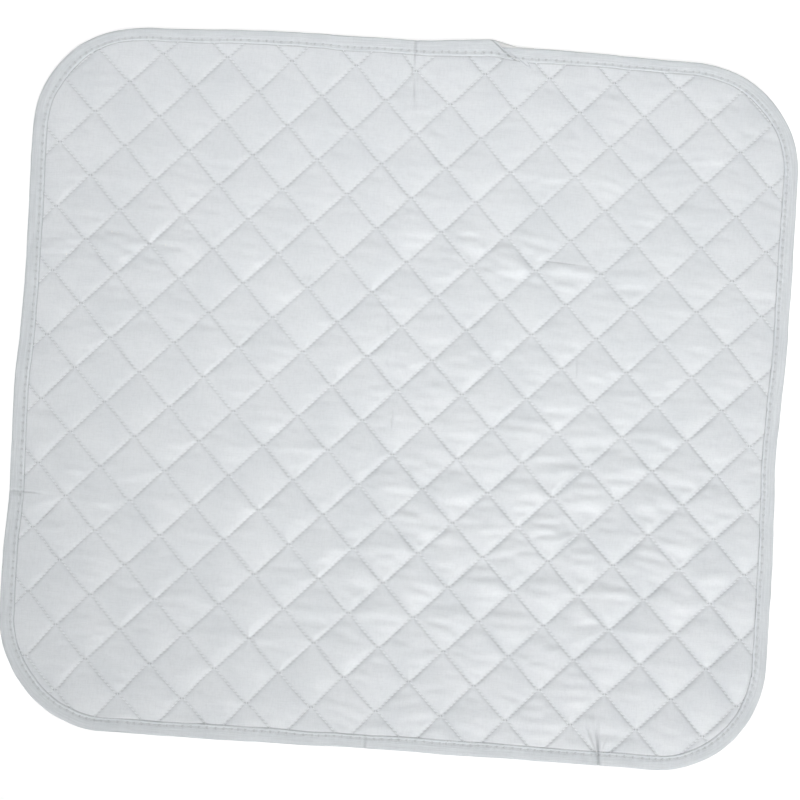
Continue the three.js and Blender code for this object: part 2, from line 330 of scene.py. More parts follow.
# Where the cloth was fed in more loosely: centre, reach, more height of its waves and of its puffs.
EASE_PATCHES = [
    (130.0, -110.0, 95.0, 115.0, 0.85, 1.2),
    (240.0, -80.0, 60.0, 95.0, 0.2, 0.9),
    (85.0, 112.0, 85.0, 20.0, 1.0, 0.2),
    (-225.0, 103.0, 80.0, 22.0, 1.1, 0.0),
    (-240.0, -190.0, 80.0, 60.0, 0.1, -0.5),
    (0.0, -110.0, 60.0, 90.0, 0.5, 0.6),
    (250.0, -200.0, 70.0, 70.0, -0.2, 1.5),
    (0.0, 60.0, 90.0, 90.0, 0.0, 0.6),
]


def crown(a, b):
    """Plain crown of each diamond, from 0 on its seams to 1 in its middle."""
    return np.sqrt(np.maximum(np.sin(np.pi * (a % 1.0)) * np.sin(np.pi * (b % 1.0)), 0.0))


def slack_plan(x, y):
    """The plan before the seams gather the cloth: longer along the rows than across them."""
    sx = x * (1.0 + SLACK_ACROSS) + 0.5 * UNEVEN_FEED * field(x, y, 44.0, 21)
    sy = y * (1.0 + SLACK_ALONG) + UNEVEN_FEED * field(0.6 * x, y, 27.0, 22)
    return sx, sy


def loose_cloth(grid):
    """Heights of the loose cloth: a puff in each diamond, and waves that become its wrinkles."""
    x = grid.x
    y = grid.y
    waves = np.full(len(x), WAVES)
    puff = np.full(len(x), PUFF)
    for cx, cy, rx, ry, more_waves, more_puff in EASE_PATCHES:
        patch = np.exp(-((x - cx) / rx) ** 2 - ((y - cy) / ry) ** 2)
        waves = waves + more_waves * patch
        puff = puff + more_puff * patch
    lean = LEAN_ACROSS * x + LEAN_WANDER * field(x, y, 60.0, 23)
    wave = field(0.3 * x, y + lean, 4.6, 11) + 0.6 * field(0.4 * x, y + lean, 8.0, 12)
    return puff * crown(grid.a, grid.b) + waves * wave * smooth(grid.seam_distance() / 5.0)


def gather(grid, held, start):
    """Sews the slack cloth down on its seams by simulation, and returns where its points end."""
    slack_x, slack_y = slack_plan(grid.x, grid.y)
    loose = np.stack([slack_x, slack_y, start], 1) * SIM_SCALE
    sewn = np.stack([grid.x, grid.y, start], 1) * SIM_SCALE
    mesh = bpy.data.meshes.new("cloth_sim")
    mesh.from_pydata(loose.tolist(), [], grid.quads.tolist())
    cloth = bpy.data.objects.new("cloth_sim", mesh)
    scene.collection.objects.link(cloth)
    pins = cloth.vertex_groups.new(name="pins")
    pins.add(np.where(held)[0].tolist(), 1.0, "REPLACE")
    cloth.shape_key_add(name="loose")
    key = cloth.shape_key_add(name="sewn")
    key.data.foreach_set("co", sewn.ravel())
    key.value = 0.0
    key.keyframe_insert("value", frame=1)
    key.value = 1.0
    key.keyframe_insert("value", frame=1 + GATHER_FRAMES)
    modifier = cloth.modifiers.new("cloth", "CLOTH")
    modifier.collision_settings.use_collision = False
    modifier.point_cache.frame_end = SIM_FRAMES
    settings = modifier.settings
    settings.vertex_group_mass = "pins"
    settings.mass = 0.15
    settings.air_damping = 2.0
    settings.tension_stiffness = 40.0
    settings.compression_stiffness = 40.0
    settings.shear_stiffness = 15.0
    settings.bending_stiffness = 2.0
    settings.use_pressure = True
    settings.uniform_pressure_force = 0.6
    settings.effector_weights.gravity = 0.0
    for step in range(1, SIM_FRAMES + 1):
        scene.frame_set(step)
    done = cloth.evaluated_get(bpy.context.evaluated_depsgraph_get())
    places = np.empty(len(grid.x) * 3)
    done.data.vertices.foreach_get("co", places)
    action = cloth.data.shape_keys.animation_data.action
    bpy.data.objects.remove(cloth)
    bpy.data.meshes.remove(mesh)
    bpy.data.actions.remove(action)
    scene.frame_set(1)
    return places.reshape(-1, 3) / SIM_SCALE


def simulate_face():
    """Grid lines, and the shift of every point where they cross, once the cloth is sewn down."""
    grid = QuiltGrid(np.arange(SIM_LINES) / SIM_LINES, CLOTH_INSET)
    held = (grid.seam_distance() < 0.05) | (grid.depth < QUILT_INSET)
    n = len(grid.lines)
    shift = np.zeros((n * n, 3))
    free = np.zeros(n * n)
    free[grid.used] = np.where(held, 0.0, 1.0)
    start = np.where(held, 0.0, loose_cloth(grid))
    shift[grid.used] = gather(grid, held, start) - np.stack([grid.x, grid.y, np.zeros(len(grid.x))], 1)
    shift = (shift * free[:, None]).reshape(n, n, 3)
    free = free.reshape(n, n, 1)
    near = np.roll(shift, 1, 0) + np.roll(shift, -1, 0) + np.roll(shift, 1, 1) + np.roll(shift, -1, 1)
    return grid.lines, shift + free * 0.5 * (near / 4.0 - shift)


def spread(lines, shift, wanted):
    """The simulated shifts where other grid lines cross, by cubic blending both ways."""
    t = np.clip((wanted - lines[0]) / (lines[1] - lines[0]), 1.0, len(lines) - 3.001)
    k = np.floor(t + 1e-9).astype(int)
    f = t - k
    weights = np.zeros((len(wanted), len(lines)))
    rows = np.arange(len(wanted))
    weights[rows, k - 1] = -0.5 * f + f ** 2 - 0.5 * f ** 3
    weights[rows, k] = 1.0 - 2.5 * f ** 2 + 1.5 * f ** 3
    weights[rows, k + 1] = 0.5 * f + 2.0 * f ** 2 - 1.5 * f ** 3
    weights[rows, k + 2] = -0.5 * f ** 2 + 0.5 * f ** 3
    return np.stack([weights @ shift[:, :, c] @ weights.T for c in range(3)], -1)


# Material helpers

def node(tree, kind, inputs=None, **settings):
    """Adds a node. Each of inputs is a value or another node's socket."""
    made = tree.nodes.new(kind)
    for key, value in settings.items():
        setattr(made, key, value)
    for key, value in (inputs or {}).items():
        if isinstance(value, bpy.types.NodeSocket):
            tree.links.new(value, made.inputs[key])
        else:
            made.inputs[key].default_value = value
    return made


def calc(tree, operation, *values):
    """One Math node's result."""
    return node(tree, "ShaderNodeMath", dict(enumerate(values)), operation=operation).outputs[0]


def length_of(tree, first, second):
    """Length of two distances at right angles."""
    squares = calc(tree, "ADD", calc(tree, "POWER", first, 2.0), calc(tree, "POWER", second, 2.0))
    return calc(tree, "SQRT", squares)


def distance_along(tree, away, way):
    """How far a vector reaches along a direction."""
    return node(tree, "ShaderNodeVectorMath", {0: away, 1: way}, operation="DOT_PRODUCT").outputs[1]


def ramp(tree, value, low, high, to_low, to_high):
    """value taken from the range low to high to another, with soft ends."""
    inputs = {"Value": value, "From Min": low, "From Max": high, "To Min": to_low, "To Max": to_high}
    return node(tree, "ShaderNodeMapRange", inputs, interpolation_type="SMOOTHSTEP").outputs[0]


def noise(tree, place, scale, detail):
    """A noise value about 0.5."""
    inputs = {"Vector": place, "Scale": scale, "Detail": detail, "Roughness": 0.55}
    return node(tree, "ShaderNodeTexNoise", inputs).outputs[0]


def blend(tree, factor, first, second, kind="MIX"):
    """Two colours mixed. Each is a socket or a colour of three numbers."""
    made = node(tree, "ShaderNodeMix", data_type="RGBA", blend_type=kind)
    for socket, value in ((made.inputs[0], factor), (made.inputs[6], first), (made.inputs[7], second)):
        if isinstance(value, bpy.types.NodeSocket):
            tree.links.new(value, socket)
        elif isinstance(value, tuple):
            socket.default_value = (*value, 1.0)
        else:
            socket.default_value = value
    return made.outputs[2]


def bump(tree, height, distance, strength, under=None):
    """A bump of that height in millimetres over another one."""
    inputs = {"Height": height, "Distance": distance * MM, "Strength": strength}
    if under is not None:
        inputs["Normal"] = under
    return node(tree, "ShaderNodeBump", inputs).outputs[0]


def start_material(name, sheen):
    """A new material, its node tree, its main shader and the object's own coordinates."""
    made = bpy.data.materials.new(name)
    made.use_nodes = True
    tree = made.node_tree
    shader = tree.nodes["Principled BSDF"]
    shader.inputs["Sheen Weight"].default_value = sheen
    shader.inputs["Sheen Roughness"].default_value = 0.4
    return made, tree, shader, node(tree, "ShaderNodeTexCoord").outputs["Object"]


def map_parts(tree, name):
    """The two values of a map."""
    parts = node(tree, "ShaderNodeSeparateXYZ", {0: node(tree, "ShaderNodeUVMap", uv_map=name).outputs[0]})
    return parts.outputs[0], parts.outputs[1]


def weave(tree, place, pitch, turn):
    """Height of a plain weave of that thread pitch in millimetres, turned by an angle in degrees."""
    inputs = {"Vector": place, "Rotation": (0.0, 0.0, math.radians(turn))}
    parts = node(tree, "ShaderNodeSeparateXYZ", {0: node(tree, "ShaderNodeMapping", inputs).outputs[0]})
    rate = 2.0 * math.pi / (pitch * MM)
    warps = calc(tree, "SINE", calc(tree, "MULTIPLY", parts.outputs[0], rate))
    wefts = calc(tree, "SINE", calc(tree, "MULTIPLY", parts.outputs[1], rate))
    return calc(tree, "MULTIPLY", warps, wefts)


def slubs(tree, place, strength):
    """Thicker yarns here and there, along the cloth and across it, as a little darkening."""
    found = []
    for stretch in ((0.12, 1.0, 1.0), (1.0, 0.12, 1.0)):
        drawn = node(tree, "ShaderNodeMapping", {"Vector": place, "Scale": stretch}).outputs[0]
        found.append(ramp(tree, noise(tree, drawn, 1100.0, 1.0), 0.4, 0.75, 0.0, strength))
    return calc(tree, "ADD", *found)


def cloudy(tree, place, scale, dark, light):
    """Uneven tone between two colours, in clouds with a fine grain."""
    grain = calc(tree, "MULTIPLY", noise(tree, place, 30.0 * scale, 2.0), 0.5)
    tone = calc(tree, "ADD", noise(tree, place, scale, 3.0), grain)
    return blend(tree, ramp(tree, tone, 0.45, 1.05, 0.0, 1.0), dark, light)


# Old fold lines, where painted shade shows as thin dark lines on the cloth: two ends, half width and
# strength.
FOLD_SHADE_LINES = [
    ((-5.8, 279.0), (-4.4, 252.0), 0.9, 0.13),
    ((-7.0, 257.0), (-6.6, 250.0), 0.8, 0.10),
    ((-4.4, 249.0), (-2.6, 224.0), 0.8, 0.08),
    ((-8.0, -280.0), (-8.0, -264.0), 0.9, 0.10),
    ((-3.8, -12.0), (-3.3, -30.0), 0.8, 0.05),
    ((137.4, 38.0), (138.6, 18.0), 0.8, 0.05),
    ((-298.0, -94.5), (-270.0, -95.8), 0.8, 0.12),
    ((176.0, -280.0), (171.5, -247.0), 0.9, 0.24),
    ((173.5, -269.0), (163.0, -248.0), 0.9, 0.12),
    ((176.5, -269.0), (183.0, -252.0), 0.9, 0.06),
    ((108.0, 112.8), (142.0, 110.8), 0.6, 0.07),
]


def fold_shade(tree, place):
    """How much painted shade darkens the cloth on an old fold line."""
    found = None
    for (x0, y0), (x1, y1), half, strength in FOLD_SHADE_LINES:
        length = math.hypot(x1 - x0, y1 - y0)
        ux = (x1 - x0) / length
        uy = (y1 - y0) / length
        origin = (x0 * MM, y0 * MM, 0.0)
        away = node(tree, "ShaderNodeVectorMath", {0: place, 1: origin}, operation="SUBTRACT").outputs[0]
        along = distance_along(tree, away, (ux, uy, 0.0))
        off = distance_along(tree, away, (uy, -ux, 0.0))
        thin = ramp(tree, calc(tree, "ABSOLUTE", off), 0.2 * half * MM, 1.6 * half * MM, 1.0, 0.0)
        near = ramp(tree, along, -2.0 * MM, 2.0 * MM, 0.0, 1.0)
        far = ramp(tree, along, 0.5 * length * MM, 1.05 * length * MM, strength, 0.0)
        mark = calc(tree, "MULTIPLY", thin, calc(tree, "MULTIPLY", near, far))
        found = mark if found is None else calc(tree, "MAXIMUM", found, mark)
    return found


# How much painted shade darkens sewn cloth at a needle hole, at a turn, along a seam, and as a painted
# shadow beside the binding.
HOLE_SHADE = 0.15
TURN_SHADE = 0.28
HEM_SHADE = 0.42
SEAM_SHADE = 0.025


def quilted_cloth(name, dark, light, roughness, sheen, pitch, shaded_folds):
    """Sewn cotton with its weave, cloudy tone, needle holes and the pinch beside each stitch, with painted
    shade at the holes, turns, seams and fold lines and a painted shadow beside the binding.
    """
    made, tree, shader, place = start_material(name, sheen)
    column, step = map_parts(tree, "quilt")
    first = calc(tree, "FLOOR", column)
    wave = calc(tree, "PINGPONG", calc(tree, "ADD", step, first), 1.0)
    thread_x = calc(tree, "MULTIPLY_ADD", wave, HALF_X - 2.0 * TURN_SETBACK, TURN_SETBACK)
    across = calc(tree, "MULTIPLY", calc(tree, "SUBTRACT", column, first), HALF_X)
    sideways = calc(tree, "ABSOLUTE", calc(tree, "SUBTRACT", across, thread_x))
    off = calc(tree, "MULTIPLY", sideways, HALF_Y / SIDE)
    stitch = calc(tree, "MULTIPLY", step, float(STITCHES_PER_SIDE))
    along = calc(tree, "MULTIPLY", calc(tree, "PINGPONG", stitch, 0.5), SIDE / STITCHES_PER_SIDE)
    away = length_of(tree, off, along)
    # Painted shade in each needle hole.
    hole = ramp(tree, away, 0.35, 1.4, 1.0, 0.0)
    tip_x = calc(tree, "MULTIPLY_ADD", calc(tree, "ROUND", wave), HALF_X - 2.0 * TURN_SETBACK, TURN_SETBACK)
    tip_y = calc(tree, "MULTIPLY", calc(tree, "PINGPONG", step, 0.5), HALF_Y)
    tip = length_of(tree, calc(tree, "SUBTRACT", across, tip_x), tip_y)
    hole = calc(tree, "MULTIPLY", hole, ramp(tree, tip, 0.8, 2.4, 0.0, 1.0))
    # Painted shade at each turn of the thread.
    turn = ramp(tree, tip, 0.4, 1.0, 1.0, 0.0)
    pinch = calc(tree, "COSINE", calc(tree, "MULTIPLY", stitch, 2.0 * math.pi))
    pinch = calc(tree, "MULTIPLY", pinch, ramp(tree, off, 0.2, 2.6, 1.0, 0.0))
    turn_painted_shade = calc(tree, "MULTIPLY", turn, TURN_SHADE)
    painted_light_and_tone = calc(tree, "ADD", calc(tree, "MULTIPLY", hole, HOLE_SHADE), turn_painted_shade)
    inset = map_parts(tree, "edge")[0]
    # A painted shadow on the face beside the binding's inner edge.
    hem_shadow = ramp(tree, inset, BINDING_WIDTH - 0.1, BINDING_WIDTH + 1.0, HEM_SHADE, 0.0)
    # Painted shade in a soft band along each seam.
    painted_light_and_tone = calc(tree, "ADD", painted_light_and_tone, calc(tree, "ADD", hem_shadow, ramp(tree, off, 0.4, 3.2, SEAM_SHADE, 0.0)))
    if shaded_folds:
        fold = fold_shade(tree, place)
        painted_light_and_tone = calc(tree, "ADD", painted_light_and_tone, fold)
    colour = cloudy(tree, place, 24.0, dark, light)
    painted_light_and_tone = calc(tree, "ADD", painted_light_and_tone, slubs(tree, place, 0.035))
    kept = calc(tree, "SUBTRACT", 1.0, painted_light_and_tone)
    tree.links.new(blend(tree, 1.0, colour, kept, "MULTIPLY"), shader.inputs["Base Color"])
    rough = ramp(tree, noise(tree, place, 90.0, 3.0), 0.3, 0.7, roughness - 0.06, roughness + 0.07)
    tree.links.new(rough, shader.inputs["Roughness"])
    normal = bump(tree, weave(tree, place, pitch, 0.0), 0.05, 0.35)
    normal = bump(tree, noise(tree, place, 260.0, 3.0), 0.25, 0.25, normal)
    normal = bump(tree, pinch, 0.12, 0.4, normal)
    normal = bump(tree, calc(tree, "SUBTRACT", 1.0, hole), 0.35, 0.6, normal)
    if shaded_folds:
        normal = bump(tree, calc(tree, "SUBTRACT", 1.0, fold), 3.0, 0.8, normal)
    tree.links.new(normal, shader.inputs["Normal"])
    return made


def tape_cloth(name, dark, light, raw):
    """Cotton tape cut on the bias, with its raw inner side where it shows at the joint, painted shade at
    its holes, seam, fold lines and joint gap, and a painted highlight on its inner fold.
    """
    made, tree, shader, place = start_material(name, 0.15)
    bare, gap = map_parts(tree, "joint")
    colour = blend(tree, bare, cloudy(tree, place, 40.0, dark, light), raw)
    fold = fold_shade(tree, place)
    stitch, inset = map_parts(tree, "seam")
    along = calc(tree, "MULTIPLY", calc(tree, "PINGPONG", stitch, 0.5), BINDING_STITCH)
    off = calc(tree, "SUBTRACT", inset, SEAM_INSET)
    # Painted shade in each needle hole of the seam, and along the seam line.
    hole = ramp(tree, length_of(tree, off, along), 0.4, 1.5, 1.0, 0.0)
    seam_line_shade = ramp(tree, calc(tree, "ABSOLUTE", off), 0.3, 1.2, 0.05, 0.0)
    painted_light_and_tone = calc(tree, "ADD", fold, calc(tree, "MULTIPLY", hole, 0.2))
    # Painted shadow in the gap under the upper end's rim at the joint.
    painted_light_and_tone = calc(tree, "ADD", painted_light_and_tone, calc(tree, "ADD", seam_line_shade, calc(tree, "MULTIPLY", gap, 0.3)))
    painted_light_and_tone = calc(tree, "ADD", painted_light_and_tone, slubs(tree, place, 0.03))
    run = node(tree, "ShaderNodeCombineXYZ", {0: calc(tree, "MULTIPLY", stitch, 0.22), 1: inset}).outputs[0]
    streak = noise(tree, run, 0.9, 3.0)
    painted_light_and_tone = calc(tree, "ADD", painted_light_and_tone, ramp(tree, streak, 0.35, 0.65, 0.05, -0.03))
    # Painted highlight: the tape is lighter on its inner fold, past the seam.
    painted_light_and_tone = calc(tree, "ADD", painted_light_and_tone, ramp(tree, inset, SEAM_INSET + 0.2, SEAM_INSET + 1.0, 0.0, -0.06))
    kept = calc(tree, "SUBTRACT", 1.0, painted_light_and_tone)
    tree.links.new(blend(tree, 1.0, colour, kept, "MULTIPLY"), shader.inputs["Base Color"])
    rough = ramp(tree, noise(tree, place, 120.0, 3.0), 0.3, 0.7, 0.5, 0.64)
    tree.links.new(rough, shader.inputs["Roughness"])
    normal = bump(tree, weave(tree, place, 0.55, 45.0), 0.06, 0.4)
    normal = bump(tree, noise(tree, place, 300.0, 3.0), 0.3, 0.3, normal)
    normal = bump(tree, streak, 0.8, 0.5, normal)
    normal = bump(tree, calc(tree, "SUBTRACT", 1.0, hole), 0.4, 0.6, normal)
    normal = bump(tree, calc(tree, "SUBTRACT", 1.0, fold), 3.0, 0.8, normal)
    tree.links.new(normal, shader.inputs["Normal"])
    return made


def twisted_thread(name, dark, light):
    """Twisted sewing thread: the plies wind round it, with painted shade between them."""
    made, tree, shader, place = start_material(name, 0.25)
    length, turn = map_parts(tree, "run")
    turns = calc(tree, "ADD", calc(tree, "MULTIPLY", length, 1.1), calc(tree, "MULTIPLY", turn, 2.0))
    plies = calc(tree, "SINE", calc(tree, "MULTIPLY", turns, 2.0 * math.pi))
    ply_shade_and_fuzz = calc(tree, "ADD", plies, calc(tree, "MULTIPLY", noise(tree, place, 900.0, 2.0), 0.6))
    colour = blend(tree, ramp(tree, ply_shade_and_fuzz, -0.7, 1.1, 0.0, 1.0), dark, light)
    tree.links.new(colour, shader.inputs["Base Color"])
    tree.links.new(bump(tree, plies, 0.06, 0.6), shader.inputs["Normal"])
    tree.links.new(ramp(tree, ply_shade_and_fuzz, -0.7, 1.1, 0.6, 0.42), shader.inputs["Roughness"])
    return made


def fibre_fill(name, dark, light):
    """Needled polyester wadding."""
    made, tree, shader, place = start_material(name, 0.3)
    strands = noise(tree, place, 900.0, 6.0)
    colour = blend(tree, ramp(tree, strands, 0.35, 0.65, 0.0, 1.0), dark, light)
    tree.links.new(colour, shader.inputs["Base Color"])
    tree.links.new(bump(tree, strands, 0.3, 0.6), shader.inputs["Normal"])
    tree.links.new(ramp(tree, strands, 0.3, 0.7, 0.8, 0.98), shader.inputs["Roughness"])
    return made


FACE_CLOTH = quilted_cloth(
    "face_cloth", dark=(0.70, 0.729, 0.754), light=(0.755, 0.779, 0.80),
    roughness=0.385, sheen=0.1, pitch=0.55, shaded_folds=True,
)
BACK_CLOTH = quilted_cloth(
    "backing_cloth", dark=(0.74, 0.735, 0.70), light=(0.80, 0.797, 0.77),
    roughness=0.8, sheen=0.15, pitch=0.7, shaded_folds=False,
)
TAPE = tape_cloth("binding_tape", (0.66, 0.692, 0.716), (0.705, 0.734, 0.755), (0.70, 0.705, 0.71))
QUILT_COTTON = twisted_thread("quilting_thread", (0.75, 0.78, 0.80), (0.87, 0.895, 0.91))
BINDING_COTTON = twisted_thread("binding_thread", (0.56, 0.585, 0.605), (0.70, 0.725, 0.74))
WADDING = fibre_fill("wadding", (0.80, 0.79, 0.76), (0.92, 0.91, 0.89))


# Cloth layers

CHANNEL_DEPTH = 0.14
CHANNEL_WIDTH = 1.9
TURN_BULGE = 0.5
LINES_FROM_SEAM = [0.0, 0.6, 1.3, 2.4, 4.1, 5.9, 7.7, 9.5, 11.3, 13.1, 14.9, 16.4, SIDE / 2]
PLAIN_LINES = 10


def fine_lines():
    """Places in a cell, from 0 to 1, of the face's grid lines."""
    half = np.asarray(LINES_FROM_SEAM) / SIDE
    return np.concatenate([half, (1.0 - half[1:-1])[::-1]])


sim_lines, sim_shift = simulate_face()


def layer_points(grid, seam_z, rise, share):
    """Plan and height of a layer's points: its sewn height and a share of the simulated shift."""
    moved = spread(sim_lines, sim_shift, grid.lines).reshape(-1, 3)[grid.used]
    moved = moved * smooth((grid.depth - QUILT_INSET) / 1.5)[:, None]
    return grid.x + share * moved[:, 0], grid.y + share * moved[:, 1], seam_z + rise * moved[:, 2]


def build_face():
    grid = QuiltGrid(fine_lines(), CLOTH_INSET)
    x, y, z = layer_points(grid, FACE_SEAM, 1.0, 1.0)
    channel = np.exp(-(grid.thread_distance() / CHANNEL_WIDTH) ** 2)
    quilted = smooth((grid.depth - QUILT_INSET) / 1.5)
    z = z + (TURN_BULGE * np.exp(-(grid.turn_distance() / 0.8) ** 2) - CHANNEL_DEPTH * channel) * quilted
    return add_object("quilted_face", settle(x, y, z), grid.quads.tolist(), FACE_CLOTH, grid.maps())


def build_backing():
    grid = QuiltGrid(np.arange(PLAIN_LINES) / PLAIN_LINES, CLOTH_INSET)
    x, y, z = layer_points(grid, BACK_SEAM, -0.4, 0.4)
    points = settle_under(x, y, z, TABLE_CLEARANCE)
    return add_object("quilted_backing", points, grid.quads[:, ::-1].tolist(), BACK_CLOTH, grid.maps())


def build_wadding():
    grid = QuiltGrid(np.arange(PLAIN_LINES) / PLAIN_LINES, CLOTH_INSET + 1.5)
    top = settle(*layer_points(grid, WADDING_TOP, 0.9, 0.9))
    bottom = settle_under(*layer_points(grid, WADDING_BOTTOM, -0.3, 0.3), 4.0 * TABLE_CLEARANCE)
    bottom[:, 2] = np.minimum(bottom[:, 2], top[:, 2] - 0.05)
    count = len(top)
    walls = np.stack([grid.rim[:, 1], grid.rim[:, 0], grid.rim[:, 0] + count, grid.rim[:, 1] + count], 1)
    faces = np.concatenate([grid.quads, grid.quads[:, ::-1] + count, walls])
    return add_object("wadding_fill", np.concatenate([top, bottom]), faces.tolist(), WADDING)


# Threads

def tube(x, y, z, radius, along, sides):
    """Points, faces and map of one thread along a path, with closed ends."""
    dx = np.gradient(x)
    dy = np.gradient(y)
    span = np.hypot(dx, dy)
    angle = 2.0 * math.pi * np.arange(sides) / sides
    side = np.cos(angle)[None, :] * radius[:, None]
    px = x[:, None] - (dy / span)[:, None] * side
    py = y[:, None] + (dx / span)[:, None] * side
    pz = z[:, None] + 0.7 * np.sin(angle)[None, :] * radius[:, None]
    points = np.stack([px, py, pz], -1).reshape(-1, 3)
    run = np.stack([np.repeat(along, sides), np.tile(np.arange(sides) / sides, len(x))], 1)
    return points, ring_faces(len(x), sides), run


def add_thread(name, tubes, material):
    """Several tubes as one object."""
    points = np.concatenate([t[0] for t in tubes])
    run = np.concatenate([t[2] for t in tubes])
    faces = []
    count = 0
    for tube_points, tube_faces, _ in tubes:
        faces.extend([[k + count for k in face] for face in tube_faces])
        count += len(tube_points)
    return add_object(name, points, faces, material, {"run": run})


STITCH_PARTS = np.array([0.0, 0.16, 0.5, 0.84])

# How far a stitch sinks into the cloth and arches out of it, on the face and on the back.
FACE_SINK = 0.25
FACE_ARCH = 0.5
BACK_SINK = 0.05
BACK_ARCH = 0.25


def zigzag(column):
    """Plan of one row of quilting, and its length counted in stitches."""
    steps = np.arange(-CELL_REACH, CELL_REACH)
    turn_y = CROSSING_Y + steps * HALF_Y
    at_left = (column + steps) % 2 == 0
    turn_x = np.where(at_left, column * HALF_X + TURN_SETBACK, (column + 1) * HALF_X - TURN_SETBACK)
    stitch = (np.arange(STITCHES_PER_SIDE * (len(steps) - 1))[:, None] + STITCH_PARTS[None, :]).ravel()
    k = np.floor(stitch / STITCHES_PER_SIDE + 1e-9).astype(int)
    f = stitch / STITCHES_PER_SIDE - k
    x = turn_x[k] * (1 - f) + turn_x[k + 1] * f
    y = turn_y[k] * (1 - f) + turn_y[k + 1] * f
    return x, y, stitch


def row_tubes(column, up):
    """The stitches of one row on the face, or on the back where up is false."""
    x, y, stitch = zigzag(column)
    inside = depth_inside(x, y)[0] > BINDING_WIDTH - 0.4
    change = np.flatnonzero(np.diff(np.concatenate([[0], inside.astype(int), [0]])))
    tubes = []
    for begin, end in zip(change[::2], change[1::2]):
        if end - begin < 4:
            continue
        px, py, count = x[begin:end], y[begin:end], stitch[begin:end]
        hump = np.sin(np.pi * (count % 1.0))
        radius = QUILT_THREAD * (0.75 + 0.25 * hump)
        wobble = 0.12 * field(count, np.full_like(count, 7.0 * column), 1.7, 41)
        wx, wy = warp(px + wobble, py)
        if up:
            z = FACE_SEAM - CHANNEL_DEPTH - FACE_SINK + FACE_ARCH * hump + lift(wx, wy)
        else:
            z = BACK_SEAM + BACK_SINK - BACK_ARCH * hump + UNDER_LIFT * lift(wx, wy)
            z = np.maximum(z, QUILT_THREAD)
        tubes.append(tube(wx, wy, z, radius, count, 6 if up else 5))
    return tubes


def build_rows():
    """Every row's needle and bobbin thread. The end rows take the short turns beyond them."""
    for row in range(ROWS):
        columns = [FIRST_COLUMN + row]
        if row == 0:
            columns.append(FIRST_COLUMN - 1)
        if row == ROWS - 1:
            columns.append(FIRST_COLUMN + ROWS)
        for side in ("needle", "bobbin"):
            tubes = [t for column in columns for t in row_tubes(column, side == "needle")]
            thread = add_thread(f"stitches_{side}_{row + 1:02d}", tubes, QUILT_COTTON)
            place_piece(thread, f"quilting_{side}_thread_{row + 1:02d}")


# Edge binding

STRAIGHT_X = PAD_WIDTH - 2 * CORNER_RADIUS
STRAIGHT_Y = PAD_DEPTH - 2 * CORNER_RADIUS
QUARTER = math.pi * CORNER_RADIUS / 2
PERIMETER = 2 * (STRAIGHT_X + STRAIGHT_Y) + 4 * QUARTER
LAP = 27.0
FLARE = 4.6
EAR = 4.0

# Heights at the joint: of the upper end, its rim, how far the lower end tucks in, and the gap.
START_LIFT = 0.4
RIM_HEIGHT = 0.5
TUCK_TOP = 0.35
TUCK_UNDER = 0.45
GAP_DEPTH = 0.5

# How the seam puckers the tape.
ROPING = 0.24
SEAM_DENT = 0.22


def edge_place(s):
    """Point of the outline a distance s clockwise from the joint, and its outward direction."""
    s = np.mod(s + JOINT_X + STRAIGHT_X / 2, PERIMETER)
    hx = STRAIGHT_X / 2
    hy = STRAIGHT_Y / 2
    x, y, nx, ny = (np.zeros_like(s) for k in range(4))
    begin = 0.0
    for straight, cx, cy, degrees in (
        (STRAIGHT_X, -hx, hy, 90.0),
        (STRAIGHT_Y, hx, hy, 0.0),
        (STRAIGHT_X, hx, -hy, -90.0),
        (STRAIGHT_Y, -hx, -hy, 180.0),
    ):
        out = math.radians(degrees)
        t = np.clip(s - begin, 0.0, straight)
        angle = out - np.clip(s - begin - straight, 0.0, QUARTER) / CORNER_RADIUS
        on = (s >= begin) & (s < begin + straight + QUARTER)
        nx = np.where(on, np.cos(angle), nx)
        ny = np.where(on, np.sin(angle), ny)
        x = np.where(on, cx + math.sin(out) * t + np.cos(angle) * CORNER_RADIUS, x)
        y = np.where(on, cy - math.cos(out) * t + np.sin(angle) * CORNER_RADIUS, y)
        begin += straight + QUARTER
    return x, y, nx, ny


def edge_run(x, y):
    """Distance clockwise from the joint of the outline's point that is nearest."""
    hx = STRAIGHT_X / 2
    hy = STRAIGHT_Y / 2
    cx = np.clip(x, -hx, hx)
    cy = np.clip(y, -hy, hy)
    turn = np.mod(math.pi / 2 - np.arctan2(y - cy, x - cx) + 1e-6, 2 * math.pi)
    sides = [
        cx + hx,
        STRAIGHT_X + hy - cy,
        STRAIGHT_X + STRAIGHT_Y + hx - cx,
        2 * STRAIGHT_X + STRAIGHT_Y + cy + hy,
    ]
    straight = np.choose(np.minimum((turn / (math.pi / 2)).astype(int), 3), sides)
    return np.mod(straight + turn * CORNER_RADIUS - JOINT_X - hx, PERIMETER)


def edge_wander(s, u):
    """How far the tape strays outwards at a distance u in, and flares before the joint."""
    beyond = s - PERIMETER
    flare = FLARE * np.clip((beyond + 68.0) / 60.0, 0.0, 1.0) * (1.0 - smooth((beyond + 8.0) / 26.0))
    stray = 0.3 * field(s, 0.0 * s, 33.0, 35) + 0.18 * field(s, 0.0 * s, 11.0, 36)
    inner = 0.55 * field(s, 0.0 * s, 41.0, 38) + 0.2 * field(s, 0.0 * s, 13.0, 39)
    share = u / BINDING_WIDTH
    return stray + share * inner + flare * (1.0 - 0.5 * share)


def stitch_count(s):
    """Stitches sewn up to that place of the binding seam, which starts a little before the joint."""
    return (s + 12.0) / BINDING_STITCH + 0.22 * field(s, 0.0 * s, 9.0, 40)


def stitch_place(stitch):
    """Where on the seam a stitch lies, from the count above."""
    s = np.arange(-30.0, PERIMETER + 60.0, 0.5)
    return np.interp(stitch, stitch_count(s), s)


